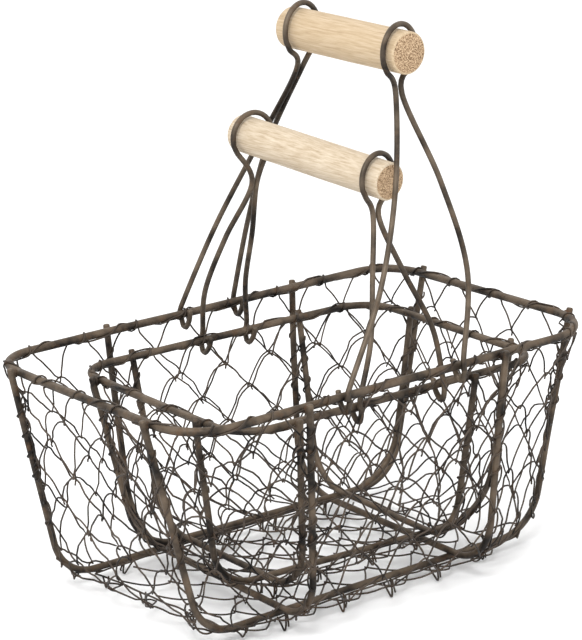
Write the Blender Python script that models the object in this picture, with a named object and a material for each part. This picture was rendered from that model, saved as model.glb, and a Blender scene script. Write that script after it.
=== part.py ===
"""Egg collection baskets: a small wire basket nested in a large one.

Each basket is a rod rim, two lengthwise and two crosswise U-shaped ribs welded round it, a skin of
woven netting outside the ribs, and a carrying handle: a turned wooden grip held in the loops of two
wire bails, which hook under the long sides of the rim and hinge there.

Metres, +Z up.  The origin is the centre of the large basket's underside.  X runs along the length
and -Y is the front.
"""
import math

import bmesh
import bpy
from mathutils import Matrix, Vector

MM = 0.001
GAP = 0.3 * MM                    # air left between pieces that touch on the real object
WIRE_RADIUS = 1.6 * MM            # wire of the bails
NET_THICKNESS = 1.2 * MM          # the woven netting as a skin
NET_DROP = 16 * MM                # rim centre to the netting's top edge
BEND_STEPS = 6                    # straight pieces in a rod's bend
NET_BEND = math.radians(60)       # how far the netting walls follow the bend under them
NET_BEND_STEPS = 4
NET_CLEARANCE = 1.05              # the netting's corners stand clear, so that its flats do too
NET_BULGE = (0.75, 0.12, 0)       # how full the netting's corners are, from the top row down
SEAM = 0.9 * MM                   # half the air between two netting panels
RIB_STANDOFF = 1.2 * MM           # a leaning rib's top to the rim, so that it clears the rim below
FLOOR_INSET = 6 * MM              # the netting walls' lower edge to the floor's edge, in plan
CORNER_STEPS = 4
HOOK_RADIUS = 4.4 * MM            # rim centre to the middle of either side of a bail's hook
HOOK_DEPTH = 8.9 * MM             # rim centre down to the middle of the hook's lowest point
HOOK_TAIL = 3.0 * MM              # rim centre up to the hook's cut end
HOOK_SHAPE = ((-1, 0.15), (-0.82, 0.5), (-0.52, 0.82), (-0.3, 0.97), (0.3, 0.97), (0.52, 0.82),
              (0.82, 0.5), (1, 0.15))  # a hook, pinched under the rim: across, and down
WIRE_SPACING = 9 * MM             # the longest straight piece of a bail

# Each basket stands in its own frame: the middle of its rim in plan, and the centre line of its
# lengthwise ribs' floor in height.  A rib is given in millimetres: its place along the rim at one
# end, the two feet (X, Y) where its legs would meet the floor without bends, and its place along
# the rim at the other end.  Lengthwise ribs run from left to right, crosswise ones front to back.
LARGE = {
    "name": "large",
    "place": Matrix.Translation((0, 0, 8.6 * MM)),
    "half_length": 150 * MM,
    "half_width": 94.75 * MM,
    "height": 128.4 * MM,
    "rim_radius": 2.4 * MM,
    "rim_corners": (39 * MM, 28 * MM, 28 * MM, 28 * MM),  # from the front right, round to the left
    "rib_radius": 2.0 * MM,
    "bends": {"left": 27 * MM, "right": 31 * MM, "front": 27 * MM, "back": 36 * MM},
    "ribs": {
        "lengthwise": {"front": (-61, (-122.5, -62), (124, -62), -62),
                       "back": (65, (-129, 62), (121, 62), 68)},
        "crosswise": {"left": (-74, (-72, -97), (-63, 85), -65),
                      "right": (68, (55, -98), (64, 84), 75)},
    },
    "floor_depth": 6.3 * MM,
}
SMALL = {
    "name": "small",
    "place": Matrix.Translation((4 * MM, -3.2 * MM, 19.5 * MM))
    @ Matrix.Rotation(math.radians(-1.6), 4, "Z"),
    "half_length": 108.25 * MM,
    "half_width": 79.5 * MM,
    "height": 104.8 * MM,
    "rim_radius": 2.2 * MM,
    "rim_corners": (23 * MM, 23 * MM, 23 * MM, 23 * MM),
    "rib_radius": 1.9 * MM,
    "bends": {"left": 30 * MM, "right": 36 * MM, "front": 30 * MM, "back": 30 * MM},
    "ribs": {
        "lengthwise": {"front": (-47, (-93, -34), (96, -43), -47),
                       "back": (54, (-92, 45), (95, 44), 45)},
        "crosswise": {"left": (-71, (-67, -78), (-65, 60), -66),
                      "right": (54, (47, -71), (52, 62), 57)},
    },
    "floor_depth": 2.1 * MM,
}

# Handles, in millimetres in their basket's frame.  A bail's numbers are the X of its two hooks, the
# X of its legs at one third and two thirds of the way up, its neck, where the legs come together,
# how far apart the wires are there, how far back its loop's right side stands, as a share of the
# loop's radius, and how far the legs bow outwards.  "loops" are how far the loops stand from the
# grip's ends.
LARGE_HANDLE = {
    "grip": ((20, -76.2, 304.7), (20, 25.2, 306.25)),
    "grip_radius": 12.0 * MM,
    "loops": (8, 9.5),
    "loop_slack": (1.3 * MM, 1.5 * MM),
    "bails": {
        "front": {"hooks": (-45.7, 37.8), "low": (-13.8, 50.2), "high": (7.3, 40.5),
                  "neck": (20, -67.4, 281.0), "apart": 4.4, "skew": 0.25, "bow": 0},
        "back": {"hooks": (-11, 28.8), "low": (8.5, 33.3), "high": (21.0, 29.0),
                 "neck": (20, 19.4, 282.5), "apart": 3.6, "skew": 0.25, "bow": 18},
    },
}
SMALL_HANDLE = {
    "grip": ((7.9, -67.0, 222.9), (-1.6, 57.6, 231.9)),
    "grip_radius": 10.9 * MM,
    "loops": (9.8, 10.5),
    "loop_slack": (1.3 * MM, 1.5 * MM),
    "bails": {
        "front": {"hooks": (-28.5, 30.9), "low": (-13.5, 30.5), "high": (-4.0, 18.2),
                  "neck": (6.5, -55.9, 202.0), "apart": 3.8, "skew": 0.25, "bow": 0},
        "back": {"hooks": (-15.9, 16.6), "low": (-20.5, 8.8), "high": (-13.2, 6.2),
                 "neck": (0.2, 48.2, 203.5), "apart": 3.6, "skew": 0, "bow": 0},
    },
}


def clear_scene():
    for thing in list(bpy.data.objects):
        bpy.data.objects.remove(thing, do_unlink=True)


def material(name, colour, roughness, metallic):
    made = bpy.data.materials.new(name)
    made.use_nodes = True
    shader = made.node_tree.nodes["Principled BSDF"]
    shader.inputs["Base Color"].default_value = (*colour, 1)
    shader.inputs["Roughness"].default_value = roughness
    shader.inputs["Metallic"].default_value = metallic
    return made


def add(name, data, parent, origin, finish):
    """Link an object under its basket's empty, with its origin at the given point."""
    made = bpy.data.objects.new(name, data)
    bpy.context.scene.collection.objects.link(made)
    made.parent = parent
    made.location = origin
    data.materials.append(finish)
    return made


def tube(name, points, radius, sides, closed, parent, origin, finish):
    """A round wire through the points, with flat cut ends unless it is closed."""
    curve = bpy.data.curves.new(name, "CURVE")
    curve.dimensions = "3D"
    curve.bevel_depth = radius
    curve.bevel_resolution = (sides - 4) // 2
    curve.use_fill_caps = True
    spline = curve.splines.new("POLY")
    spline.points.add(len(points) - 1)
    for place, point in zip(spline.points, points):
        place.co = (*(point - origin), 1)
        place.radius = 1
    spline.use_cyclic_u = closed
    return add(name, curve, parent, origin, finish)


def rounded(corners, radii, steps):
    """The path through the corners, with an arc of each radius at the corners between its ends."""
    path = [corners[0]]
    for before, corner, after, radius in zip(corners, corners[1:], corners[2:], radii):
        arriving = (corner - before).normalized()
        leaving = (after - corner).normalized()
        turn = arriving.angle(leaving)
        start = corner - arriving * radius * math.tan(turn / 2)
        inward = (leaving - arriving * math.cos(turn)).normalized()
        for step in range(steps + 1):
            angle = turn * step / steps
            path.append(start + arriving * radius * math.sin(angle)
                        + inward * radius * (1 - math.cos(angle)))
    path.append(corners[-1])
    return path


def smooth(points, spacing):
    """A Catmull-Rom curve through the points, in pieces no longer than the spacing."""
    path = []
    last = len(points) - 1
    for index in range(last):
        before = points[max(index - 1, 0)]
        start = points[index]
        end = points[index + 1]
        after = points[min(index + 2, last)]
        steps = max(1, math.ceil((end - start).length / spacing))
        for step in range(steps):
            t = step / steps
            path.append(0.5 * (2 * start + (end - before) * t
                               + (2 * before - 5 * start + 4 * end - after) * t ** 2
                               + (3 * start - before - 3 * end + after) * t ** 3))
    path.append(points[last])
    return path


def ends_of(direction):
    return ("left", "right") if direction == "lengthwise" else ("front", "back")


def rib_reach(basket, side):
    """How far from the middle a rib's top stands, outside the rim of that side."""
    half = basket["half_length"] if side in ("left", "right") else basket["half_width"]
    return half + basket["rim_radius"] + basket["rib_radius"] + RIB_STANDOFF


def rib_level(basket, side):
    """The floor height of the ribs that climb a side: crosswise ribs lie on the lengthwise ones."""
    return 0.0 if side in ("left", "right") else 2 * basket["rib_radius"] + GAP


def make_rim(basket, parent, finish):
    length, width = basket["half_length"], basket["half_width"]
    corners = [Vector((x, y, basket["height"])) for x, y in
               ((0, -width), (length, -width), (length, width), (-length, width), (-length, -width),
                (0, -width))]
    path = rounded(corners, basket["rim_corners"], BEND_STEPS)[:-1]
    tube(basket["name"] + "_rim", path, basket["rim_radius"], 8, True, parent, Vector(), finish)


def make_rib(basket, direction, name, parent, finish):
    """One U-shaped rib, its two ends standing outside the rim."""
    start, first_foot, second_foot, end = basket["ribs"][direction][name]
    sides = ends_of(direction)
    level = rib_level(basket, sides[0])
    top = basket["height"] + basket["rim_radius"]
    corners = []
    for place, sign, side in ((start, -1, sides[0]), (end, 1, sides[1])):
        reach = sign * rib_reach(basket, side)
        x, y = (reach, place * MM) if direction == "lengthwise" else (place * MM, reach)
        corners.append(Vector((x, y, top)))
    for place, foot in ((1, first_foot), (2, second_foot)):
        corners.insert(place, Vector((foot[0] * MM, foot[1] * MM, level)))
    path = rounded(corners, [basket["bends"][side] for side in sides], BEND_STEPS)
    tube("{}_rib_{}_{}".format(basket["name"], direction, name), path, basket["rib_radius"], 8,
         False, parent, Vector(), finish)


def net_profile(basket, side, rib):
    """The rows of the netting over one rib's leg, from the top down.

    Each row has the rib's place along the side, the rib's centre line as distance out and height,
    and the angle of its outside below the horizontal.
    """
    level = rib_level(basket, side)
    axis = 0 if side in ("left", "right") else 1
    direction = "lengthwise" if axis == 0 else "crosswise"
    start, first_foot, second_foot, end = basket["ribs"][direction][rib]
    near_start = side == ends_of(direction)[0]
    top_place = start if near_start else end
    foot = first_foot if near_start else second_foot
    out = abs(foot[axis]) * MM
    lean = math.atan2(rib_reach(basket, side) - out, basket["height"] - level)
    bend = basket["bends"][side]
    centre = Vector((out - bend * math.tan(math.pi / 4 - lean / 2), level + bend))
    rows = []
    for step in range(NET_BEND_STEPS + 1):
        angle = lean + NET_BEND * step / NET_BEND_STEPS
        rows.append((centre + bend * Vector((math.cos(angle), -math.sin(angle))), angle))
    rise = basket["height"] - NET_DROP - rows[0][0].y
    rows.insert(0, (rows[0][0] + Vector((math.tan(lean) * rise, rise)), lean))
    profile = []
    for spot, angle in rows:
        share = min(1.0, (basket["height"] - spot.y) / (basket["height"] - level))
        place = (top_place + (foot[1 - axis] - top_place) * share) * MM
        profile.append((place, spot, angle))
    return profile


def net_post(basket, side, rib, row, toward=None):
    """A point just outside a rib, turned round the rib until it faces along the way to the target."""
    place, spot, angle = net_profile(basket, side, rib)[row]
    sign = -1 if side in ("left", "front") else 1
    if side in ("left", "right"):
        centre = Vector((sign * spot.x, place, spot.y))
        outside = Vector((sign * math.cos(angle), 0, -math.sin(angle)))
        sideways = Vector((0, 1, 0))
    else:
        centre = Vector((place, sign * spot.x, spot.y))
        outside = Vector((0, sign * math.cos(angle), -math.sin(angle)))
        sideways = Vector((1, 0, 0))
    reach = (basket["rib_radius"] + GAP) * NET_CLEARANCE
    if toward is None:
        return [centre + outside * reach]
    away = toward - centre
    if away.dot(sideways) < 0:
        sideways = -sideways
    turn = max(0.0, math.atan2(-away.dot(outside), away.dot(sideways)))
    return [centre + reach * (outside * math.cos(turn * part) + sideways * math.sin(turn * part))
            for part in (0, 0.5, 1)]


def net_corner(basket, end, side):
    """Columns of the netting round one corner, from the end wall's rib to the long wall's."""
    columns = [[] for _ in range(CORNER_STEPS + 5)]
    seam = Vector((math.copysign(SEAM, -1 if end == "left" else 1), 0, 0))
    for row in range(NET_BEND_STEPS + 2):
        first = net_post(basket, end, side, row)[0]
        last = net_post(basket, side, end, row)[0]
        start = net_post(basket, end, side, row, last)
        finish = net_post(basket, side, end, row, first)[:0:-1]
        bulge = NET_BULGE[min(row, len(NET_BULGE) - 1)]
        corner = Vector((first.x, last.y, (first.z + last.z) / 2))
        middle = []
        for step in range(1, CORNER_STEPS):
            part = step / CORNER_STEPS
            straight = start[-1].lerp(finish[0], part)
            full = (start[-1] * (1 - part) ** 2 + corner * 2 * part * (1 - part)
                    + finish[0] * part ** 2)
            middle.append(straight.lerp(full, bulge))
        points = start + middle + [point + seam for point in finish]
        for column, point in zip(columns, points):
            column.append(point)
    return [column for column in columns if column]


def net_panel(name, columns, parent, finish):
    """A skin through columns of points that run down the inside, seen left to right from outside."""
    mesh = bpy.data.meshes.new(name)
    build = bmesh.new()
    grid = [[build.verts.new(point) for point in column] for column in columns]
    for left, right in zip(grid, grid[1:]):
        for row in range(len(left) - 1):
            build.faces.new((left[row], left[row + 1], right[row + 1], right[row]))
    build.to_mesh(mesh)
    build.free()
    made = add(name, mesh, parent, Vector(), finish)
    skin = made.modifiers.new("Thickness", "SOLIDIFY")
    skin.thickness = NET_THICKNESS
    skin.offset = 1
    skin.use_even_offset = False


def make_netting(basket, parent, finish):
    name = basket["name"] + "_netting_"
    for end, first, second in (("left", "back", "front"), ("right", "front", "back")):
        columns = net_corner(basket, end, first)[::-1] + net_corner(basket, end, second)
        net_panel(name + end, columns, parent, finish)
    for side, first, second in (("front", "left", "right"), ("back", "right", "left")):
        columns = []
        for rib in (first, second):
            inward = Vector((SEAM if rib == "left" else -SEAM, 0, 0))
            columns.append([net_post(basket, side, rib, row)[0] + inward
                            for row in range(NET_BEND_STEPS + 2)])
        net_panel(name + side, columns, parent, finish)
    make_floor(name + "floor", basket, parent, finish)


def make_floor(name, basket, parent, finish):
    """The netting under the ribs, eight-sided, inside the walls' lower edges."""
    mesh = bpy.data.meshes.new(name)
    build = bmesh.new()
    top = -basket["rib_radius"] - GAP
    for end in ("left", "right"):
        for side in ("front", "back"):
            on_end = net_post(basket, end, side, NET_BEND_STEPS + 1)[0]
            on_side = net_post(basket, side, end, NET_BEND_STEPS + 1)[0]
            for x, y in ((abs(on_end.x) - FLOOR_INSET, abs(on_end.y)),
                         (abs(on_side.x), abs(on_side.y) - FLOOR_INSET)):
                for z in (top - basket["floor_depth"], top):
                    build.verts.new((math.copysign(x, on_end.x), math.copysign(y, on_end.y), z))
    bmesh.ops.convex_hull(build, input=build.verts)
    build.to_mesh(mesh)
    build.free()
    add(name, mesh, parent, Vector(), finish)


def bail_path(basket, side, bail, centre, loop_radius):
    """A bail's wire from the tail of its left hook, up, round the loop and down to the right tail."""
    out = -1 if side == "front" else 1
    neck = Vector(bail["neck"]) * MM
    rim = Vector((0, out * basket["half_width"], basket["height"]))
    rise = neck.z - rim.z
    bow = bail["bow"] * MM * out
    up = Vector((0, (neck.y - rim.y + math.pi * bow) / rise, 1)).normalized()
    outward = out * Vector((0, up.z, -up.y))

    def leg(which):
        hook = rim + Vector((bail["hooks"][which] * MM, 0, 0))
        points = [hook - outward * HOOK_RADIUS + up * HOOK_TAIL]
        for across, fall in HOOK_SHAPE:
            points.append(hook + outward * HOOK_RADIUS * across - up * HOOK_DEPTH * fall)
        points.append(hook + outward * HOOK_RADIUS + up * HOOK_TAIL)
        for part, knee in ((1 / 3, bail["low"]), (2 / 3, bail["high"])):
            y = rim.y + (neck.y - rim.y) * part + bow * math.sin(math.pi * part)
            points.append(Vector((knee[which] * MM, y + out * HOOK_RADIUS * (1 - part),
                                  rim.z + rise * part)))
        apart = bail["apart"] / 2 * MM * (-1, 1)[which]
        points.append(neck + Vector((apart, 0, 0)))
        return points

    drop = centre - neck
    opening = math.acos(loop_radius / drop.length)
    loop = []
    steps = 2 * BEND_STEPS
    for step in range(steps + 1):
        angle = opening + (2 * math.pi - 2 * opening) * step / steps
        around = Vector((-math.sin(angle), -bail["skew"] * math.sin(angle), -math.cos(angle)))
        loop.append(centre + loop_radius * around)
    return smooth(leg(0) + loop + leg(1)[::-1], WIRE_SPACING)


def make_handle(basket, handle, parent, wire, wood):
    front, back = (Vector(end) * MM for end in handle["grip"])
    along = (back - front).normalized()
    loops = {"front": front + along * handle["loops"][0] * MM,
             "back": back - along * handle["loops"][1] * MM}
    for side, slack in zip(("front", "back"), handle["loop_slack"]):
        bail = handle["bails"][side]
        radius = handle["grip_radius"] + slack + WIRE_RADIUS
        path = bail_path(basket, side, bail, loops[side], radius)
        out = -1 if side == "front" else 1
        hinge = Vector((0, out * basket["half_width"], basket["height"]))
        tube("{}_bail_{}".format(basket["name"], side), path, WIRE_RADIUS, 6, False, parent, hinge,
             wire)

    name = basket["name"] + "_grip"
    mesh = bpy.data.meshes.new(name)
    build = bmesh.new()
    length = (back - front).length
    bmesh.ops.create_cone(build, cap_ends=True, segments=24, radius1=handle["grip_radius"],
                          radius2=handle["grip_radius"], depth=length)
    turn = along.to_track_quat("Z", "X").to_matrix().to_4x4()
    middle = (front + back) / 2 - loops["front"]
    bmesh.ops.transform(build, matrix=Matrix.Translation(middle) @ turn, verts=build.verts)
    build.to_mesh(mesh)
    build.free()
    mesh.shade_smooth()
    mesh.set_sharp_from_angle(angle=math.radians(40))
    made = add(name, mesh, parent, loops["front"], wood)
    edge = made.modifiers.new("Turned edge", "BEVEL")
    edge.width = 1 * MM
    edge.segments = 2
    edge.limit_method = "ANGLE"
    edge.angle_limit = math.radians(40)


def make_basket(basket, handle):
    parent = bpy.data.objects.new(basket["name"] + "_basket_place", None)
    bpy.context.scene.collection.objects.link(parent)
    parent.matrix_world = basket["place"]
    prefix = basket["name"] + "_"
    rod = material(prefix + "rod", (0.105, 0.078, 0.056), 0.62, 0.55)
    netting = material(prefix + "netting", (0.085, 0.066, 0.050), 0.66, 0.5)
    wire = material(prefix + "bail_wire", (0.115, 0.083, 0.058), 0.58, 0.55)
    wood = material(prefix + "wood", (0.82, 0.66, 0.44), 0.62, 0.0)
    make_rim(basket, parent, rod)
    for direction, ribs in basket["ribs"].items():
        for name in ribs:
            make_rib(basket, direction, name, parent, rod)
    make_netting(basket, parent, netting)
    make_handle(basket, handle, parent, wire, wood)


clear_scene()
make_basket(LARGE, LARGE_HANDLE)
make_basket(SMALL, SMALL_HANDLE)
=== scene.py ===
"""Looks of the nested egg baskets: aged hand-bent wire, woven netting and pale wooden grips.

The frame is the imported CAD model.  Every rod, bail, grip and netting panel is rebuilt here as a finer
piece in the same place, and the netting panels become real woven wires.
"""
import math
import random

import bmesh
import bpy
from mathutils import Matrix, Vector, noise


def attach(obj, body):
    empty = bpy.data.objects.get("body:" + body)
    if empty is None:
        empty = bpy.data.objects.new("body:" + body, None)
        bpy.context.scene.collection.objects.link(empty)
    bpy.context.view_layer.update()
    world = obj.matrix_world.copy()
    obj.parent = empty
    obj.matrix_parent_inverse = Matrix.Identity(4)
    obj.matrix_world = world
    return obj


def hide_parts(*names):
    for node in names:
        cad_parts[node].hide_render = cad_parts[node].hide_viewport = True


MM = 0.001
FRONT, RIGHT, BACK, LEFT = "front", "right", "back", "left"

# The baskets, with the CAD model's dimensions.  A rib is its place along the rim, its two feet in
# plan and its place along the rim at the other end, in millimetres.
LARGE = {
    "name": "large",
    "body": "large_basket",
    "place": Matrix.Translation((0, 0, 8.6 * MM)),
    "half_length": 150 * MM,
    "half_width": 94.75 * MM,
    "height": 128.4 * MM,
    "rim_radius": 2.4 * MM,
    "rim_corners": (39 * MM, 28 * MM, 28 * MM, 28 * MM),
    "rib_radius": 2.0 * MM,
    "bends": {LEFT: 27 * MM, RIGHT: 31 * MM, FRONT: 27 * MM, BACK: 36 * MM},
    "ribs": {
        "lengthwise": {FRONT: (-61, (-122.5, -62), (124, -62), -62),
                       BACK: (65, (-129, 62), (121, 62), 68)},
        "crosswise": {LEFT: (-74, (-72, -97), (-63, 85), -65),
                      RIGHT: (68, (55, -98), (64, 84), 75)},
    },
    "cells": 26,
    "rows": 8,
    "floor_cells": 6,
    "floor_rows": 8,
    "stub_low": -7.7 * MM,
    "seed": 5,
}
SMALL = {
    "name": "small",
    "body": "small_basket",
    "place": Matrix.Translation((4 * MM, -3.2 * MM, 19.5 * MM))
    @ Matrix.Rotation(math.radians(-1.6), 4, "Z"),
    "half_length": 108.25 * MM,
    "half_width": 79.5 * MM,
    "height": 104.8 * MM,
    "rim_radius": 2.2 * MM,
    "rim_corners": (23 * MM, 23 * MM, 23 * MM, 23 * MM),
    "rib_radius": 1.9 * MM,
    "bends": {LEFT: 30 * MM, RIGHT: 36 * MM, FRONT: 30 * MM, BACK: 30 * MM},
    "ribs": {
        "lengthwise": {FRONT: (-47, (-93, -34), (96, -43), -47),
                       BACK: (54, (-92, 45), (95, 44), 45)},
        "crosswise": {LEFT: (-71, (-67, -78), (-65, 60), -66),
                      RIGHT: (54, (47, -71), (52, 62), 57)},
    },
    "cells": 20,
    "rows": 7,
    "floor_cells": 4,
    "floor_rows": 6,
    "stub_low": -6.8 * MM,
    "seed": 11,
}
# The handles, in millimetres in their basket's own frame.  A grip is the middles of its two ends, and
# "loops" are how far the bails' loops stand from them.  A bail is the X of its two hooks, the X of its
# legs at one third and two thirds of the way up, its neck, where the legs come together, how far apart
# the wires are there, how far back its loop's right side stands, as a share of the loop's radius, and
# how far the legs bow outwards.
LARGE_HANDLE = {
    "grip": ((20, -76.2, 304.7), (20, 25.2, 306.25)),
    "grip_radius": 12.0 * MM,
    "loops": (8, 9.5),
    "loop_slack": (1.3 * MM, 1.5 * MM),
    "bails": {
        FRONT: {"hooks": (-45.7, 37.8), "low": (-13.8, 50.2), "high": (7.3, 40.5),
                "neck": (20, -67.4, 281.0), "apart": 4.4, "skew": 0.25, "bow": 0,
                "body": "large_front_wire"},
        BACK: {"hooks": (-11, 28.8), "low": (8.5, 33.3), "high": (21.0, 29.0),
               "neck": (20, 19.4, 282.5), "apart": 3.6, "skew": 0.25, "bow": 18,
               "body": "large_back_wire"},
    },
    "body": "large_handle",
}
SMALL_HANDLE = {
    "grip": ((7.9, -67.0, 222.9), (-1.6, 57.6, 231.9)),
    "grip_radius": 10.9 * MM,
    "loops": (9.8, 10.5),
    "loop_slack": (1.3 * MM, 1.5 * MM),
    "bails": {
        FRONT: {"hooks": (-28.5, 30.9), "low": (-13.5, 30.5), "high": (-4.0, 18.2),
                "neck": (6.5, -55.9, 202.0), "apart": 3.8, "skew": 0.25, "bow": 0,
                "body": "small_front_wire"},
        BACK: {"hooks": (-15.9, 16.6), "low": (-20.5, 8.8), "high": (-13.2, 6.2),
               "neck": (0.2, 48.2, 203.5), "apart": 3.6, "skew": 0, "bow": 0,
               "body": "small_back_wire"},
    },
    "body": "small_handle",
}
WIRE_RADIUS = 1.6 * MM            # of the bails
RIB_STANDOFF = 1.2 * MM           # gap between rim and ribs, which the welds fill
HOOK_RADIUS = 4.4 * MM            # rim centre to the middle of either side of a bail's hook
HOOK_DEPTH = 8.9 * MM             # rim centre down to the middle of the hook's lowest point
HOOK_TAIL = 3.0 * MM              # rim centre up to the hook's cut end
HOOK_SHAPE = ((-1, 0.15), (-0.82, 0.5), (-0.52, 0.82), (-0.3, 0.97), (0.3, 0.97), (0.52, 0.82),
              (0.82, 0.5), (1, 0.15))
WELD_SIZE = (2.5 * MM, 1.9 * MM, 2.6 * MM)      # half its length along the rib's reach, width, height

# Rods bent by hand
BEND_STEPS = 16
ROD_SIDES = 16
ROD_SPACING = 8 * MM              # longest straight piece of a rod
WAVE_DEPTH = 0.5 * MM
WAVE_LENGTH = 55 * MM
BAIL_SIDES = 12
BAIL_SPACING = 2.5 * MM
LOOP_STEPS = 12

# Wooden grips
GRIP_SIDES = 64
GRIP_STEPS = 24
GRIP_EDGE = 1.1 * MM              # radius of the broken edge round each end
GRIP_WEAR = 0.12 * MM

# Netting
NET_RADIUS = 0.55 * MM
NET_SIDES = 6
NET_STANDOFF = 0.7 * MM           # outside of the ribs to the middle of the netting's wires
FLOOR_STANDOFF = 1.1 * MM         # the same, under the ribs
NET_DROP = 1.2                    # the netting's length down the walls, as a share of their height
PROFILE_STEPS = 12
CORNER_FULLNESS = 1.09            # how much more netting a corner takes than the way across it
HOOK_OVERLAP = 1.3 * MM           # how far a row's points reach past the row they hook into
ARCH_STEPS = 14
RIM_ARCH_STEPS = 40               # in the row that is looped over the rim
RIM_LOOP = 0.12                   # half of the part of such an arch that goes round the rim
KNOT_SHIFT = 1.9 * MM             # how far a knot may lie from its even place
TANGLE = 1.5 * MM                 # how far the netting's waves move it
LEFT_TANGLE = 1.4 * MM            # how much further they do on the left end
TANGLE_LENGTH = 9 * MM
LACE_PITCH = 48 * MM
LACE_STEPS = 20                   # in each turn of the lacing
TIP_CHANCE = 0.75                 # the share of knots that have a pointed end
SEAM_STEPS = 240
STUB_SPACING = 36 * MM
CURL_PITCH = 15 * MM
CURL_STEPS = 14                   # in each curl
# Rib legs with curls of netting beside them, counted from the front's left one: which, way, reach
CURLED_EDGES = ((1, 1, 1.7 * MM), (2, -1, 3.1 * MM), (2, 1, 2.0 * MM), (6, 1, 2.2 * MM),
                (7, -1, 2.0 * MM), (0, -1, 1.8 * MM))


def add(name, mesh, body, slot, *nodes):
    """Link a finished mesh as a piece of the object, in place of the CAD nodes it stands for."""
    made = bpy.data.objects.new(name, mesh)
    bpy.context.scene.collection.objects.link(made)
    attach(made, body)
    if nodes:
        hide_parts(*nodes)
    return made


class Wires:
    """Round wires of any number, gathered into one mesh."""

    END_REACH = 0.3               # an open end's bulge and its own radius, as shares of the wire's
    END_RADIUS = 0.72

    def __init__(self):
        self.points = []
        self.faces = []

    def add(self, path, radius, sides, closed=False):
        """Sweep a circle along the path.  Open ends are slightly rounded."""
        centres = list(path)
        radii = [radius] * len(centres)
        if not closed:
            first = (centres[0] - centres[1]).normalized()
            final = (centres[-1] - centres[-2]).normalized()
            start_cap = centres[0] + first * radius * self.END_REACH
            end_cap = centres[-1] + final * radius * self.END_REACH
            centres = [start_cap, *centres, end_cap]
            radii = [radius * self.END_RADIUS, *radii, radius * self.END_RADIUS]
        count = len(centres)
        start = len(self.points)
        side = None
        for index, centre in enumerate(centres):
            before = centres[index - 1] if index or closed else centre
            after = centres[(index + 1) % count] if index < count - 1 or closed else centre
            along = (after - before).normalized()
            if side is None:
                side = along.cross(Vector((0.31, 0.17, 0.93))).normalized()
            side = (side - along * side.dot(along)).normalized()
            other = along.cross(side)
            for step in range(sides):
                angle = 2 * math.pi * step / sides
                self.points.append(centre + radii[index] * (side * math.cos(angle)
                                                            + other * math.sin(angle)))
        rings = count if closed else count - 1
        shift = self.closing_shift(start, count, sides) if closed else 0
        for ring in range(rings):
            here = start + ring * sides
            there = start + (ring + 1) % count * sides
            turn = shift if ring == count - 1 else 0
            for step in range(sides):
                after = (step + 1) % sides
                self.faces.append((here + step, here + after, there + (after + turn) % sides,
                                   there + (step + turn) % sides))
        if not closed:
            self.faces.append([start + step for step in reversed(range(sides))])
            self.faces.append([start + (count - 1) * sides + step for step in range(sides)])

    def closing_shift(self, start, count, sides):
        """How many sides the last ring has to turn to meet the first one."""
        last = self.points[start + (count - 1) * sides]
        gaps = [(self.points[start + step] - last).length for step in range(sides)]
        return gaps.index(min(gaps))

    def mesh(self, name, material, place=Matrix()):
        made = bpy.data.meshes.new(name)
        made.from_pydata([place @ point for point in self.points], [], self.faces)
        made.shade_smooth()
        made.materials.append(material)
        return made


def rounded(corners, radii, steps):
    """The path through the corners, with an arc of each radius at the corners between its ends."""
    path = [corners[0]]
    for before, corner, after, radius in zip(corners, corners[1:], corners[2:], radii):
        arriving = (corner - before).normalized()
        leaving = (after - corner).normalized()
        turn = arriving.angle(leaving)
        start = corner - arriving * radius * math.tan(turn / 2)
        inward = (leaving - arriving * math.cos(turn)).normalized()
        for step in range(steps + 1):
            angle = turn * step / steps
            path.append(start + arriving * radius * math.sin(angle)
                        + inward * radius * (1 - math.cos(angle)))
    path.append(corners[-1])
    return path


def smooth(points, spacing):
    """A Catmull-Rom curve through the points, in pieces no longer than the spacing."""
    path = []
    last = len(points) - 1
    for index in range(last):
        before = points[max(index - 1, 0)]
        start = points[index]
        end = points[index + 1]
        after = points[min(index + 2, last)]
        steps = max(1, math.ceil((end - start).length / spacing))
        for step in range(steps):
            t = step / steps
            path.append(0.5 * (2 * start + (end - before) * t
                               + (2 * before - 5 * start + 4 * end - after) * t ** 2
                               + (3 * start - before - 3 * end + after) * t ** 3))
    path.append(points[last])
    return path


def divided(path, spacing):
    """The same path with its long straight pieces divided."""
    points = [path[0]]
    for start, end in zip(path, path[1:]):
        steps = max(1, math.ceil((end - start).length / spacing))
        points += [start.lerp(end, step / steps) for step in range(1, steps + 1)]
    return points


def hand_bent(path, seed):
    """The path with the slight waves of a rod that was bent by hand."""
    shift = Vector((seed * 3.7, seed * 1.9, seed * 0.7))
    return [point + WAVE_DEPTH * noise.noise_vector(point / WAVE_LENGTH + shift) for point in path]


def ends_of(direction):
    return (LEFT, RIGHT) if direction == "lengthwise" else (FRONT, BACK)


def rib_reach(basket, side):
    half = basket["half_length"] if side in (LEFT, RIGHT) else basket["half_width"]
    return half + basket["rim_radius"] + basket["rib_radius"] + RIB_STANDOFF


def rib_level(basket, side):
    return 0.0 if side in (LEFT, RIGHT) else 2 * basket["rib_radius"] + 0.3 * MM


def rim_path(basket):
    length, width = basket["half_length"], basket["half_width"]
    corners = [Vector((x, y, basket["height"])) for x, y in
               ((0, -width), (length, -width), (length, width), (-length, width), (-length, -width),
                (0, -width))]
    return rounded(corners, basket["rim_corners"], BEND_STEPS)[:-1]


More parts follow.
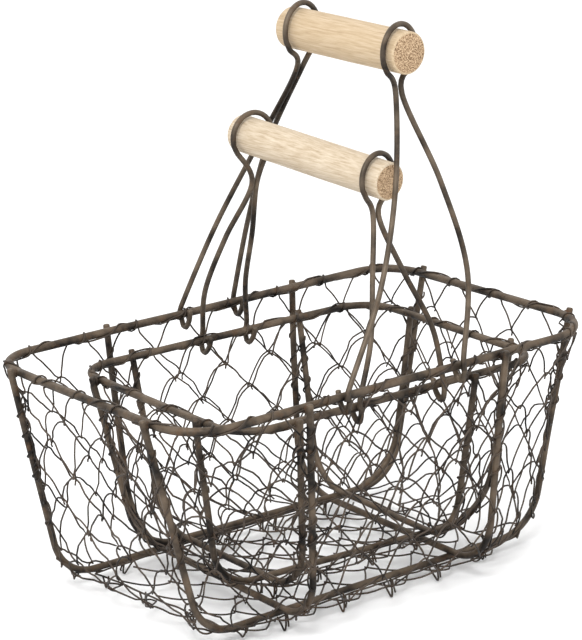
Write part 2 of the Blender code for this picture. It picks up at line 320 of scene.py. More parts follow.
def rib_path(basket, direction, name):
    start, first_foot, second_foot, end = basket["ribs"][direction][name]
    sides = ends_of(direction)
    level = rib_level(basket, sides[0])
    top = basket["height"] + basket["rim_radius"]
    corners = []
    for place, sign, side in ((start, -1, sides[0]), (end, 1, sides[1])):
        reach = sign * rib_reach(basket, side)
        x, y = (reach, place * MM) if direction == "lengthwise" else (place * MM, reach)
        corners.append(Vector((x, y, top)))
    for place, foot in ((1, first_foot), (2, second_foot)):
        corners.insert(place, Vector((foot[0] * MM, foot[1] * MM, level)))
    return rounded(corners, [basket["bends"][side] for side in sides], BEND_STEPS)


def make_rods(basket, material, weld_material):
    """The rim, the ribs and the welds that hold them together."""
    name, place, body = basket["name"], basket["place"], basket["body"]
    rim = Wires()
    path = divided(rim_path(basket), ROD_SPACING)
    rim.add(hand_bent(path, basket["seed"]), basket["rim_radius"], ROD_SIDES, True)
    add(name + "_rim_rod", rim.mesh(name + "_rim_rod", material, place), body, "aged_wire",
        name + "_rim")
    welds = []
    for direction, ribs in basket["ribs"].items():
        for number, rib_name in enumerate(ribs):
            node = "{}_rib_{}_{}".format(name, direction, rib_name)
            path = divided(rib_path(basket, direction, rib_name), ROD_SPACING)
            rib = Wires()
            bent = hand_bent(path, basket["seed"] + number + len(direction))
            rib.add(bent, basket["rib_radius"], ROD_SIDES)
            add(node + "_rod", rib.mesh(node + "_rod", material, place), body, "aged_wire", node)
            welds += [bent[0], bent[-1]]
    make_welds(basket, welds, weld_material)


def make_welds(basket, tops, material):
    """A rough bead of weld between the rim and the top of each rib."""
    build = bmesh.new()
    for number, top in enumerate(tops):
        on_end = abs(top.x) > basket["half_length"]
        inward = Vector((-math.copysign(1, top.x), 0, 0)) if on_end else Vector(
            (0, -math.copysign(1, top.y), 0))
        centre = top + inward * (basket["rib_radius"] + RIB_STANDOFF / 2)
        centre.z = basket["height"] - 0.4 * MM
        bead = bmesh.ops.create_icosphere(build, subdivisions=3, radius=1)
        along, across, upward = WELD_SIZE
        size = Vector((along, across, upward)) if on_end else Vector((across, along, upward))
        for vertex in bead["verts"]:
            rough = 1 + 0.16 * noise.noise(vertex.co * 2.1 + Vector((number * 5.3, 0, 0)))
            vertex.co = centre + vertex.co * rough * size
    mesh = bpy.data.meshes.new(basket["name"] + "_welds")
    build.to_mesh(mesh)
    build.free()
    mesh.transform(basket["place"])
    mesh.shade_smooth()
    mesh.materials.append(material)
    add(basket["name"] + "_welds", mesh, basket["body"], "aged_wire")


def bail_path(basket, side, bail, centre, loop_radius):
    """A bail's wire from the tail of its left hook, up, round the loop and down to the right tail."""
    out = -1 if side == FRONT else 1
    neck = Vector(bail["neck"]) * MM
    rim = Vector((0, out * basket["half_width"], basket["height"]))
    rise = neck.z - rim.z
    bow = bail["bow"] * MM * out
    up = Vector((0, (neck.y - rim.y + math.pi * bow) / rise, 1)).normalized()
    outward = out * Vector((0, up.z, -up.y))

    def leg(which):
        hook = rim + Vector((bail["hooks"][which] * MM, 0, 0))
        points = [hook - outward * HOOK_RADIUS + up * HOOK_TAIL]
        for across, fall in HOOK_SHAPE:
            points.append(hook + outward * HOOK_RADIUS * across - up * HOOK_DEPTH * fall)
        points.append(hook + outward * HOOK_RADIUS + up * HOOK_TAIL)
        for part, knee in ((1 / 3, bail["low"]), (2 / 3, bail["high"])):
            y = rim.y + (neck.y - rim.y) * part + bow * math.sin(math.pi * part)
            points.append(Vector((knee[which] * MM, y + out * HOOK_RADIUS * (1 - part),
                                  rim.z + rise * part)))
        apart = bail["apart"] / 2 * MM * (-1, 1)[which]
        points.append(neck + Vector((apart, 0, 0)))
        return points

    drop = centre - neck
    opening = math.acos(loop_radius / drop.length)
    loop = []
    for step in range(LOOP_STEPS + 1):
        angle = opening + (2 * math.pi - 2 * opening) * step / LOOP_STEPS
        around = Vector((-math.sin(angle), -bail["skew"] * math.sin(angle), -math.cos(angle)))
        loop.append(centre + loop_radius * around)
    return smooth(leg(0) + loop + leg(1)[::-1], BAIL_SPACING)


def make_handle(basket, handle, wire, wood, end_wood):
    name = basket["name"]
    front, back = (Vector(end) * MM for end in handle["grip"])
    along = (back - front).normalized()
    loops = {FRONT: front + along * handle["loops"][0] * MM,
             BACK: back - along * handle["loops"][1] * MM}
    for side, slack in zip((FRONT, BACK), handle["loop_slack"]):
        bail = handle["bails"][side]
        radius = handle["grip_radius"] + slack + WIRE_RADIUS
        bent = Wires()
        bent.add(bail_path(basket, side, bail, loops[side], radius), WIRE_RADIUS, BAIL_SIDES)
        node = "{}_bail_{}".format(name, side)
        add(node + "_wire", bent.mesh(node + "_wire", wire, basket["place"]), bail["body"],
            "aged_wire", node)
    make_grip(basket, handle, front, back, wood, end_wood)


def make_grip(basket, handle, front, back, wood, end_wood):
    """A sawn dowel with its edges just broken, hardly out of round."""
    radius = handle["grip_radius"]
    length = (back - front).length
    rings = [(-length / 2, 0), (-length / 2, radius - GRIP_EDGE)]
    for angle in (math.pi / 8, math.pi / 4, 3 * math.pi / 8, math.pi / 2):
        rings.append((-length / 2 + GRIP_EDGE * (1 - math.cos(angle)),
                      radius - GRIP_EDGE * (1 - math.sin(angle))))
    middle = [(-length / 2 + GRIP_EDGE + (length - 2 * GRIP_EDGE) * step / GRIP_STEPS, radius)
              for step in range(1, GRIP_STEPS)]
    rings += middle + [(-distance, reach) for distance, reach in reversed(rings)]
    build = bmesh.new()
    loops = []
    for distance, reach in rings:
        if reach == 0:
            loops.append([build.verts.new((0, 0, distance))])
            continue
        loop = []
        for step in range(GRIP_SIDES):
            angle = 2 * math.pi * step / GRIP_SIDES
            spot = Vector((math.cos(angle), math.sin(angle), distance / (40 * MM)))
            worn = reach - GRIP_WEAR * (1 + noise.noise(spot * 1.3))
            loop.append(build.verts.new((worn * spot.x, worn * spot.y, distance)))
        loops.append(loop)
    for number, (lower, upper) in enumerate(zip(loops, loops[1:])):
        for step in range(GRIP_SIDES):
            after = (step + 1) % GRIP_SIDES
            if len(lower) == 1:
                face = build.faces.new((lower[0], upper[after], upper[step]))
            elif len(upper) == 1:
                face = build.faces.new((lower[step], lower[after], upper[0]))
            else:
                face = build.faces.new((lower[step], lower[after], upper[after], upper[step]))
            face.smooth = True
            face.material_index = 1 if number in (0, len(loops) - 2) else 0
    name = basket["name"] + "_grip_wood"
    mesh = bpy.data.meshes.new(name)
    build.to_mesh(mesh)
    build.free()
    mesh.materials.append(wood)
    mesh.materials.append(end_wood)
    mesh.set_sharp_from_angle(angle=math.radians(50))
    turn = (back - front).to_track_quat("Z", "X").to_matrix().to_4x4()
    mesh.transform(basket["place"] @ Matrix.Translation((front + back) / 2) @ turn)
    add(name, mesh, handle["body"], "pale_wood", basket["name"] + "_grip")


# Netting ------------------------------------------------------------------------------------------

def net_profile(basket, side, rib):
    """Outside one leg of a rib, from the rim down to under the floor: (place, distance, height)."""
    level = rib_level(basket, side)
    axis = 0 if side in (LEFT, RIGHT) else 1
    direction = "lengthwise" if axis == 0 else "crosswise"
    start, first_foot, second_foot, end = basket["ribs"][direction][rib]
    near_start = side == ends_of(direction)[0]
    top_place, foot = (start, first_foot) if near_start else (end, second_foot)
    out = abs(foot[axis]) * MM
    lean = math.atan2(rib_reach(basket, side) - out, basket["height"] - level)
    bend = basket["bends"][side]
    centre = Vector((out - bend * math.tan(math.pi / 4 - lean / 2), level + bend))
    radius = bend + basket["rib_radius"] + NET_STANDOFF
    spots = [Vector((rib_reach(basket, side) - basket["rib_radius"], basket["height"]))]
    for step in range(PROFILE_STEPS + 1):
        angle = lean + (math.pi / 2 - lean) * step / PROFILE_STEPS
        spots.append(centre + radius * Vector((math.cos(angle), -math.sin(angle))))
    profile = []
    for spot in spots:
        share = min(1.0, max(0.0, (basket["height"] - spot.y) / (basket["height"] - level)))
        place = (top_place + (foot[1 - axis] - top_place) * share) * MM
        profile.append(Vector((place, spot.x, spot.y)))
    return profile


def along_profile(profile, part):
    """The point at a part, from 0 to 1, of a profile's length."""
    lengths = [(end - start).length for start, end in zip(profile, profile[1:])]
    left = part * sum(lengths)
    for start, end, length in zip(profile, profile[1:], lengths):
        if left <= length:
            return start.lerp(end, left / length)
        left -= length
    return profile[-1]


class Skin:
    """The netting's surface: stretched over the outsides of the ribs, and over the rim at its top."""

    SIDES = ((FRONT, LEFT, RIGHT), (RIGHT, FRONT, BACK), (BACK, RIGHT, LEFT), (LEFT, BACK, FRONT))
    OUTSIDES = {FRONT: (0, -1), RIGHT: (1, 0), BACK: (0, 1), LEFT: (-1, 0)}

    def __init__(self, basket):
        self.basket = basket
        self.profiles = [(side, net_profile(basket, side, rib))
                         for side, *ribs in self.SIDES for rib in ribs]
        self.posts = [self.post(number, 0) for number in range(8)]
        lengths = []
        for number in range(8):
            start, end = self.posts[number], self.posts[(number + 1) % 8]
            lengths.append((end - start).length * (CORNER_FULLNESS if number % 2 else 1))
        self.perimeter = sum(lengths)
        self.starts = [sum(lengths[:number]) / self.perimeter for number in range(9)]

    def post(self, number, down):
        """Where the netting crosses one leg of a rib, going round from the front's left one."""
        side, profile = self.profiles[number % 8]
        place, distance, height = along_profile(profile, down)
        outside = Vector((*self.OUTSIDES[side], 0))
        across = Vector((0, 1, 0)) if side in (LEFT, RIGHT) else Vector((1, 0, 0))
        return across * place + outside * distance + Vector((0, 0, height))

    def is_near(self, around):
        """Whether the place is on the front or left side, whose arches lean the other way."""
        around %= 1
        return around < self.starts[1] or around > self.starts[6]

    def at(self, around, down):
        """A point of the surface, and the level direction away from the basket there."""
        around %= 1
        number = max(index for index in range(8) if self.starts[index] <= around)
        part = (around - self.starts[number]) / (self.starts[number + 1] - self.starts[number])
        start, end = self.post(number, down), self.post(number + 1, down)
        here = start.lerp(end, part)
        before = Vector((*self.OUTSIDES[self.profiles[number][0]], 0))
        after = Vector((*self.OUTSIDES[self.profiles[(number + 1) % 8][0]], 0))
        outward = before.lerp(after, part).normalized()
        if number % 2:
            like_rim = max(0.0, 1 - down * 1.6) ** 1.5
            here = here.lerp(self.corner(number, start, end, part), like_rim)
        return here, outward

    def corner(self, number, start, end, part):
        """The same part of the way round the corner, but along the rim's own shape."""
        radius = self.basket["rim_corners"][number // 2] + self.basket["rim_radius"] + RIB_STANDOFF
        first = Vector((*self.OUTSIDES[self.profiles[number][0]], 0))
        second = Vector((*self.OUTSIDES[self.profiles[(number + 1) % 8][0]], 0))
        tip = Vector((end.x, start.y, 0)) if first.x == 0 else Vector((start.x, end.y, 0))
        run_in = max(0.0, abs((tip - start).dot(second)) - radius)
        run_out = max(0.0, abs((tip - end).dot(first)) - radius)
        bend = math.pi / 2 * radius
        distance = part * (run_in + bend + run_out)
        level = Vector((0, 0, start.z + (end.z - start.z) * part))
        if distance < run_in:
            return tip - second * (radius + run_in - distance) + level
        if distance > run_in + bend:
            return tip - first * (radius + distance - run_in - bend) + level
        angle = (distance - run_in) / radius
        return (tip - second * radius * (1 - math.sin(angle))
                - first * radius * (1 - math.cos(angle)) + level)


def arch(part, curved_first):
    """The height of a row's arch, from 0 at its points to 1 at its top; one side is fuller."""
    left, right = (2.3, 1.15) if curved_first else (1.15, 2.3)
    if part < 0.5:
        return 1 - (1 - 2 * part) ** left
    return 1 - (2 * part - 1) ** right


def make_wall_netting(basket, skin, material):
    """Rows of arches round the basket, each row's points hooked under the tops of the next one."""
    draw = random.Random(basket["seed"])
    cells, rows = basket["cells"], basket["rows"]
    depth = basket["height"] * NET_DROP
    pitch = 1 / (rows + 0.1)
    wires = Wires()
    shifts = {}
    for row in range(rows + 2):
        for half in range(2 * cells):
            shifts[row, half] = (draw.uniform(-1, 1) * KNOT_SHIFT, draw.uniform(-1, 1) * KNOT_SHIFT)

    def knot(row, half):
        """A crossing's place around and down: the tops of a row and the points of the row above."""
        across, fall = shifts[row, half % (2 * cells)]
        down = row * pitch + (fall / depth if row else 0)
        return half / (2 * cells) + across / skin.perimeter, min(down, 1)

    for row in range(rows):
        path = []
        for cell in range(cells):
            half = 2 * cell + row % 2
            start, top, end = knot(row + 1, half), knot(row, half + 1), knot(row + 1, half + 2)
            path += wall_arch(basket, skin, row, (start, top, end), draw.uniform(0.5, 1.3))
            add_tip(wires, skin, start, depth, draw)
        wires.add(path, NET_RADIUS, NET_SIDES, True)
    lace_rim(wires, basket, skin)
    make_seam(wires, basket, skin, draw)
    for number, way, reach in CURLED_EDGES:
        curl_edge(wires, basket, skin, number, way, reach)
    wrap_ribs(wires, basket, draw)
    mesh = wires.mesh(basket["name"] + "_woven_walls", material, basket["place"])
    nodes = ["{}_netting_{}".format(basket["name"], side) for side in (LEFT, RIGHT, FRONT, BACK)]
    add(basket["name"] + "_woven_walls", mesh, basket["body"], "netting_wire", *nodes)


def wall_arch(basket, skin, row, knots, twist):
    """One arch's points: up from one knot to the top, and down towards the next one."""
    start, top, end = knots
    overlap = HOOK_OVERLAP / (basket["height"] * NET_DROP)
    near = skin.is_near(top[0])
    steps = ARCH_STEPS if row else RIM_ARCH_STEPS
    points = []
    for step in range(steps):
        part = step / steps
        low, high = (start, top) if part < 0.5 else (top, end)
        around = low[0] + (high[0] - low[0]) * (2 * part - (0 if part < 0.5 else 1))
        height = arch(part, near)
        foot = start[1] + (end[1] - start[1]) * part + overlap
        down = foot + (top[1] - foot) * height
        point, outward = skin.at(around, max(0, min(down, 1)))
        lift = math.cos(math.pi * part) * 1.5 * NET_RADIUS * twist * (1 - height)
        lift += 0.8 * MM * noise.noise(point / (14 * MM))
        point = tangled(basket, skin, around, down, point + outward * lift, outward)
        if row == 0:
            point = over_rim(basket, skin, around, point, part)
        points.append(point)
    return points


def tangled(basket, skin, around, down, point, outward):
    """The point moved by the netting's waves, which are larger on the left end's wall."""
    around %= 1
    fade = 0.04                   # of the way round
    left_end = max(0.0, min(1.0, (around - skin.starts[5]) / fade, (1 - around) / fade))
    held = min(1.0, 6 * down, 6 * (1 - down) + 0.3)
    wave = noise.noise_vector(point / TANGLE_LENGTH + Vector((basket["seed"], 0, 0)))
    return point + (TANGLE + LEFT_TANGLE * left_end) * held * (wave - outward * 0.7 * wave.dot(outward))


def over_rim(basket, skin, around, point, part):
    """The top of an arch in the first row goes once round the rim."""
    from_top = part - 0.5
    turn = math.pi * (1 + max(-1.0, min(from_top / RIM_LOOP, 1.0))) - math.pi / 5
    ease = max(0.0, min(1.0, (RIM_LOOP + 0.04 - abs(from_top)) / 0.04))
    return point.lerp(on_rim(basket, skin, around, turn), ease)


def on_rim(basket, skin, around, angle):
    """A point on a wire that lies against the rim, at an angle from its outside upwards."""
    nudge = 0.002
    before, after = skin.at(around - nudge, 0)[0], skin.at(around + nudge, 0)[0]
    outward = (after - before).normalized().cross(Vector((0, 0, 1)))
    centre = skin.at(around, 0)[0] - outward * (basket["rim_radius"] + RIB_STANDOFF)
    centre.z = basket["height"]
    reach = basket["rim_radius"] + NET_RADIUS
    return centre + reach * (outward * math.cos(angle) + Vector((0, 0, math.sin(angle))))


def lace_rim(wires, basket, skin):
    """A wire wound round the rim the whole way, unevenly."""
    turns = round(skin.perimeter / LACE_PITCH)
    steps = turns * LACE_STEPS
    path = []
    for step in range(steps):
        around = step / steps
        swing = 1.6 * noise.noise(Vector((math.cos(2 * math.pi * around) * 9,
                                          math.sin(2 * math.pi * around) * 9, basket["seed"])))
        path.append(on_rim(basket, skin, around, 2 * math.pi * turns * around + swing))
    wires.add(path, NET_RADIUS, NET_SIDES, True)


def add_tip(wires, skin, knot, depth, draw):
    """The short pointed end of wire that sticks out under most knots."""
    if draw.random() > TIP_CHANCE:
        return
    around, down = knot
    length = draw.uniform(2.0, 3.8) * MM
    root, outward = skin.at(around, min(down + 0.2 * MM / depth, 1))
    end, _ = skin.at(around + draw.uniform(-1, 1) * 0.0012, min(down + length / depth, 1))
    middle = root.lerp(end, 0.5) + outward * draw.uniform(0.3, 1.1) * MM
    tail = end + outward * draw.uniform(-0.4, 1.2) * MM
    wires.add([root, middle, tail], NET_RADIUS * 0.95, NET_SIDES)


def make_seam(wires, basket, skin, draw):
    """The netting's lower edge, and the bent ends of wire that hang from it a cell apart."""
    edge = [skin.at(step / SEAM_STEPS, 1) for step in range(SEAM_STEPS)]
    path = [point + 1.3 * MM * noise.noise_vector(point / (16 * MM)) for point, _ in edge]
    wires.add(path, NET_RADIUS, NET_SIDES, True)
    travelled = 0.0
    following = 0.0
    for number, (point, outward) in enumerate(edge):
        onward = edge[(number + 1) % SEAM_STEPS][0] - point
        travelled += onward.length
        if travelled < following:
            continue
        following = travelled + draw.uniform(0.85, 1.12) * STUB_SPACING
        hang_stub(wires, basket, point, outward, onward.normalized(), draw)


def hang_stub(wires, basket, point, outward, onward, draw):
    """A bent end of wire hanging from the seam, and a straighter one that stands beside it."""
    side = onward * MM
    up = Vector((0, 0, MM))
    tip = Vector((point.x, point.y, basket["stub_low"] + draw.uniform(0, 1.4) * MM))
    tip += outward * draw.uniform(-0.5, 2.5) * MM
    bend = [point - side * draw.uniform(4, 6),
            point.lerp(tip, 0.55) - side * 2.0,
            tip,
            tip + side * 0.9 + up * 0.5,
            point.lerp(tip, 0.5) + side * 1.3,
            point + side * 0.8 + up * 1.5]
    wires.add(smooth(bend, 1 * MM), NET_RADIUS * 1.05, NET_SIDES)
    beside = [point + side * 2.2,
              point.lerp(tip, 0.5) + side * 2.4 + outward * 0.7 * MM,
              tip + side * draw.uniform(2.0, 3.4) + up * draw.uniform(0.4, 2.4)]
    wires.add(beside, NET_RADIUS, NET_SIDES)


def curl_edge(wires, basket, skin, number, way, reach):
    """Where two pieces of netting meet at a rib, their wires' ends curl round each other beside it."""
    curls = round(basket["height"] / CURL_PITCH)
    steps = curls * CURL_STEPS
    path = []
    for step in range(steps + 1):
        part = step / steps
        down = 0.07 + 0.84 * part
        point, outward = skin.at(skin.starts[number] + way * 0.0005, down)
        beyond, _ = skin.at(skin.starts[number] + way * 0.012, down)
        side = (beyond - point).normalized()
        rough = noise.noise(Vector((part * 11, number, basket["seed"])))
        angle = 2 * math.pi * curls * part + 2.2 * rough
        swell = reach * (1 + 0.7 * rough)
        sideways = side * swell * (1.5 - math.cos(angle))
        away = outward * swell * 0.35 * math.sin(angle * 0.5 + 1)
        upward = Vector((0, 0, swell * 1.25 * math.sin(angle)))
        path.append(point + sideways + away + upward)
    wires.add(path, NET_RADIUS, NET_SIDES)


def wrap_ribs(wires, basket, draw):
    """Ends of netting wire wound round the ribs' legs."""
    for direction, ribs in basket["ribs"].items():
        for name in ribs:
            path = divided(rib_path(basket, direction, name), 2 * MM)
            half = len(path) // 2
            for leg in (path[:half], path[:half - 1:-1]):
                first = draw.randrange(5, 14)
                final = first + draw.randrange(14, 40)
                wound(wires, leg[first:final], basket["rib_radius"], draw.uniform(9, 17) * MM)


def wound(wires, leg, radius, pitch):
    """A wire wound loosely along part of a rod."""
    travelled = 0.0
    path = []
    side = None
    for before, here in zip(leg, leg[1:]):
        along = (here - before).normalized()
        if side is None:
            side = along.cross(Vector((0.3, 0.9, 0.2))).normalized()
        side = (side - along * side.dot(along)).normalized()
        angle = 2 * math.pi * travelled / pitch
        reach = radius + NET_RADIUS + 0.05 * MM
        path.append(here + reach * (side * math.cos(angle) + along.cross(side) * math.sin(angle)))
        travelled += (here - before).length
    wires.add(smooth(path, 1 * MM), NET_RADIUS, NET_SIDES)


def make_floor_netting(basket, skin, material):
    """The same arches, lying under the ribs."""
    draw = random.Random(basket["seed"] + 100)
    cells, rows = basket["floor_cells"], basket["floor_rows"]
    level = -basket["rib_radius"] - FLOOR_STANDOFF
    left, right = skin.post(7, 1).x, skin.post(2, 1).x
    front, back = skin.post(0, 1).y, skin.post(5, 1).y
    wires = Wires()
    shifts = {}
    for row in range(rows + 2):
        for half in range(2 * cells + 3):
            shifts[row, half] = Vector((draw.uniform(-1, 1), draw.uniform(-1, 1), 0)) * KNOT_SHIFT

    def knot(row, half):
        """A crossing, moved less near the floor's front and back edges."""
        place = Vector((left + (right - left) * half / (2 * cells),
                        front + (back - front) * row / rows, level))
        return place + shifts[row, half] * min(1.0, 0.3 + min(row, rows - row) / 2)

    for row in range(rows):
        path = []
        for cell in range(cells - row % 2):
            half = 2 * cell + row % 2
            start, top, end = knot(row + 1, half), knot(row, half + 1), knot(row + 1, half + 2)
            for step in range(ARCH_STEPS + 1):
                part = step / ARCH_STEPS
                low, high = (start, top) if part < 0.5 else (top, end)
                along = low.lerp(high, 2 * part - (0 if part < 0.5 else 1)).x
                height = arch(part, True)
                foot = start.y + (end.y - start.y) * part + HOOK_OVERLAP
                across = foot + (top.y - foot) * height
                sag = 1.0 * MM * noise.noise(Vector((along, across, basket["seed"])) / (30 * MM))
                lift = math.cos(math.pi * part) * 1.4 * NET_RADIUS * (1 - height)
                path.append(Vector((along, across, level - abs(sag) + lift)))
        wires.add(path, NET_RADIUS, NET_SIDES)
    mesh = wires.mesh(basket["name"] + "_woven_floor", material, basket["place"])
    add(basket["name"] + "_woven_floor", mesh, basket["body"], "netting_wire",
        basket["name"] + "_netting_floor")


# Materials ----------------------------------------------------------------------------------------

def new_material(name):
    made = bpy.data.materials.new(name)
    made.use_nodes = True
    nodes = made.node_tree.nodes
    return made, nodes, made.node_tree.links, nodes["Principled BSDF"]


def ramp(nodes, stops):
    made = nodes.new("ShaderNodeValToRGB")
    elements = made.color_ramp.elements
    while len(elements) < len(stops):
        elements.new(0.5)
    for element, (position, colour) in zip(elements, stops):
        element.position = position
        element.color = (*colour, 1)
    return made


def noise_node(nodes, links, coordinates, scale, detail, roughness=0.55):
    made = nodes.new("ShaderNodeTexNoise")
    made.inputs["Scale"].default_value = scale
    made.inputs["Detail"].default_value = detail
    made.inputs["Roughness"].default_value = roughness
    links.new(coordinates, made.inputs["Vector"])
    return made


def aged_wire(name, dark, light, rust, bump_depth):
    """Bare iron wire gone brown: patchy, with painted light on its upper sides and painted shade on its
    undersides, some rust, a slightly pitted surface.
    """
    made, nodes, links, shader = new_material(name)
    coordinates = nodes.new("ShaderNodeTexCoord")
    place = coordinates.outputs["Object"]
    patches = noise_node(nodes, links, place, 60, 4)
    # Painted light and shade: the normal's Z lifts the patches' tone on upward-facing sides and darkens
    # it on downward-facing ones.
    facing = nodes.new("ShaderNodeSeparateXYZ")
    links.new(coordinates.outputs["Normal"], facing.inputs["Vector"])
    patches_with_painted_light = nodes.new("ShaderNodeMath")
    patches_with_painted_light.operation = "MULTIPLY_ADD"
    links.new(facing.outputs["Z"], patches_with_painted_light.inputs[0])
    patches_with_painted_light.inputs[1].default_value = 0.12
    links.new(patches.outputs["Fac"], patches_with_painted_light.inputs[2])
    tone = ramp(nodes, ((0.36, dark), (0.66, light)))
    links.new(patches_with_painted_light.outputs["Value"], tone.inputs["Fac"])
    spots = noise_node(nodes, links, place, 150, 5, 0.65)
    cover = ramp(nodes, ((0.54, (0, 0, 0)), (0.70, (0.8, 0.8, 0.8))))
    links.new(spots.outputs["Fac"], cover.inputs["Fac"])
    mix = nodes.new("ShaderNodeMix")
    mix.data_type = "RGBA"
    links.new(cover.outputs["Color"], mix.inputs["Factor"])
    links.new(tone.outputs["Color"], mix.inputs["A"])
    mix.inputs["B"].default_value = (*rust, 1)
    links.new(mix.outputs["Result"], shader.inputs["Base Color"])
    shader.inputs["Metallic"].default_value = 0.3
    shader.inputs["Specular IOR Level"].default_value = 0.3
    rough = ramp(nodes, ((0.3, (0.42, 0.42, 0.42)), (0.7, (0.66, 0.66, 0.66))))
    links.new(spots.outputs["Fac"], rough.inputs["Fac"])
    links.new(rough.outputs["Color"], shader.inputs["Roughness"])
    pits = noise_node(nodes, links, place, 900, 4, 0.6)
    bump = nodes.new("ShaderNodeBump")
    bump.inputs["Strength"].default_value = 0.35
    bump.inputs["Distance"].default_value = bump_depth
    links.new(pits.outputs["Fac"], bump.inputs["Height"])
    links.new(bump.outputs["Normal"], shader.inputs["Normal"])
    return made


def pale_wood(name, dark, middle, light):
    """Fine streaks that run along the grip."""
    made, nodes, links, shader = new_material(name)
    place = nodes.new("ShaderNodeTexCoord").outputs["Object"]
    stretch = nodes.new("ShaderNodeMapping")
    stretch.inputs["Scale"].default_value = (1, 0.05, 1)
    links.new(place, stretch.inputs["Vector"])
    streaks = noise_node(nodes, links, stretch.outputs["Vector"], 1100, 6, 0.65)
    tone = ramp(nodes, ((0.30, dark), (0.48, middle), (0.70, light)))
    links.new(streaks.outputs["Fac"], tone.inputs["Fac"])
    links.new(tone.outputs["Color"], shader.inputs["Base Color"])
    shader.inputs["Roughness"].default_value = 0.62
    shader.inputs["Specular IOR Level"].default_value = 0.25
    bump = nodes.new("ShaderNodeBump")
    bump.inputs["Strength"].default_value = 0.25
    bump.inputs["Distance"].default_value = 0.2 * MM
    links.new(streaks.outputs["Fac"], bump.inputs["Height"])
    links.new(bump.outputs["Normal"], shader.inputs["Normal"])
    return made


def end_grain():
    """Sawn end grain: darker, speckled with pores."""
    made, nodes, links, shader = new_material("end grain")
    place = nodes.new("ShaderNodeTexCoord").outputs["Object"]
    pores = noise_node(nodes, links, place, 1500, 3, 0.7)
    tone = ramp(nodes, ((0.38, (0.09, 0.05, 0.025)), (0.50, (0.36, 0.24, 0.14)),
                        (0.62, (0.62, 0.46, 0.30))))
    links.new(pores.outputs["Fac"], tone.inputs["Fac"])
    links.new(tone.outputs["Color"], shader.inputs["Base Color"])
    shader.inputs["Roughness"].default_value = 0.8
    shader.inputs["Specular IOR Level"].default_value = 0.15
    return made


# Setting ------------------------------------------------------------------------------------------

CAMERA_ANGLES = (-38.396, 16.352, -1.482)       # azimuth, elevation and roll, in degrees
CAMERA_DISTANCE = 1.62877
CAMERA_LENS = 159.4


def make_camera():
    """The photograph's viewpoint: a long lens, from the front left and a little above."""
    azimuth, elevation, roll = (math.radians(angle) for angle in CAMERA_ANGLES)
    back = Vector((math.sin(azimuth) * math.cos(elevation), -math.cos(azimuth) * math.cos(elevation),
                   math.sin(elevation)))
    right = Vector((math.cos(azimuth), math.sin(azimuth), 0))
    up = back.cross(right)
    aim = Vector((0, 0, 137 * MM)) - right * 4.507 * MM + up * 13.237 * MM
    level_right = right * math.cos(roll) + up * math.sin(roll)
    level_up = up * math.cos(roll) - right * math.sin(roll)
    camera = bpy.data.cameras.new("camera")
    camera.sensor_fit = "VERTICAL"
    camera.sensor_height = 36
    camera.lens = CAMERA_LENS
    camera.clip_end = 20
    made = bpy.data.objects.new("camera", camera)
    turn = Matrix((level_right, level_up, back)).transposed().to_4x4()
    made.matrix_world = Matrix.Translation(aim + back * CAMERA_DISTANCE) @ turn
    bpy.context.scene.collection.objects.link(made)
    bpy.context.scene.camera = made


def make_light(name, place, size, power, target=Vector((0, 0, 0.12))):
    light = bpy.data.lights.new(name, "AREA")
    light.shape = "DISK"
    light.size = size
    light.energy = power
    made = bpy.data.objects.new(name, light)
    made.location = place
    made.rotation_euler = (target - Vector(place)).to_track_quat("-Z", "Y").to_euler()
    bpy.context.scene.collection.objects.link(made)


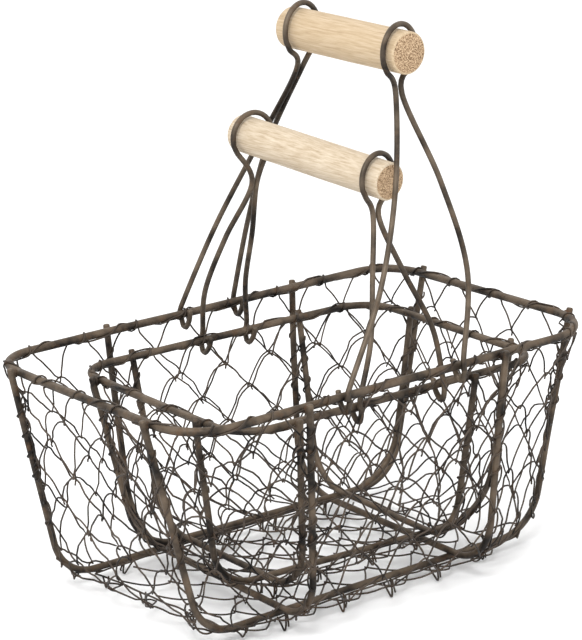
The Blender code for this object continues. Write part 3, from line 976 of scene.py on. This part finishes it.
def make_setting():
    build = bmesh.new()
    bmesh.ops.create_grid(build, x_segments=1, y_segments=1, size=20)
    mesh = bpy.data.meshes.new("floor")
    build.to_mesh(mesh)
    build.free()
    material, _, _, shader = new_material("floor")
    shader.inputs["Base Color"].default_value = (0.93, 0.93, 0.93, 1)
    shader.inputs["Roughness"].default_value = 0.9
    shader.inputs["Specular IOR Level"].default_value = 0.1
    mesh.materials.append(material)
    floor = bpy.data.objects.new("floor", mesh)
    bpy.context.scene.collection.objects.link(floor)
    world = bpy.data.worlds.new("studio")
    world.use_nodes = True
    sky = world.node_tree.nodes["Background"]
    sky.inputs["Color"].default_value = (1, 1, 1, 1)
    sky.inputs["Strength"].default_value = 1.0
    bpy.context.scene.world = world
    make_light("key", (-1.1, -0.9, 1.7), 0.9, 30)
    make_light("fill", (1.6, -1.2, 1.1), 1.8, 6)
    make_light("back light", (0.3, 1.8, 1.6), 1.6, 8)
    bpy.context.scene.view_settings.view_transform = "Standard"
    make_camera()


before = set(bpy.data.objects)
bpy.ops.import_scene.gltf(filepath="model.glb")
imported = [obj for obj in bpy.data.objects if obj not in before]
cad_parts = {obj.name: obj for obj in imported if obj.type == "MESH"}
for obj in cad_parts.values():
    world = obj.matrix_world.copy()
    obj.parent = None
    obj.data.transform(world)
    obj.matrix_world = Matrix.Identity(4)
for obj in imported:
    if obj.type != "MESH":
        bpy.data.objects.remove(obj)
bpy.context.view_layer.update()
rod_finish = aged_wire("aged rod", (0.006, 0.004, 0.0025), (0.122, 0.090, 0.062),
                       (0.100, 0.058, 0.031), 0.25 * MM)
weld_finish = aged_wire("weld", (0.016, 0.011, 0.008), (0.080, 0.052, 0.032),
                        (0.120, 0.055, 0.025), 0.35 * MM)
bail_finish = aged_wire("aged bail", (0.014, 0.010, 0.007), (0.132, 0.100, 0.070),
                        (0.105, 0.064, 0.036), 0.2 * MM)
net_finish = aged_wire("netting wire", (0.003, 0.002, 0.0015), (0.080, 0.060, 0.045),
                       (0.075, 0.044, 0.025), 0.1 * MM)
tan_wood = pale_wood("tan wood", (0.36, 0.26, 0.155), (0.47, 0.355, 0.225), (0.57, 0.455, 0.32))
cream_wood = pale_wood("cream wood", (0.38, 0.29, 0.19), (0.51, 0.415, 0.30), (0.64, 0.55, 0.43))
end_finish = end_grain()
for basket, handle, wood_finish in ((LARGE, LARGE_HANDLE, tan_wood),
                                    (SMALL, SMALL_HANDLE, cream_wood)):
    make_rods(basket, rod_finish, weld_finish)
    skin = Skin(basket)
    make_wall_netting(basket, skin, net_finish)
    make_floor_netting(basket, skin, net_finish)
    make_handle(basket, handle, bail_finish, wood_finish, end_finish)
make_setting()
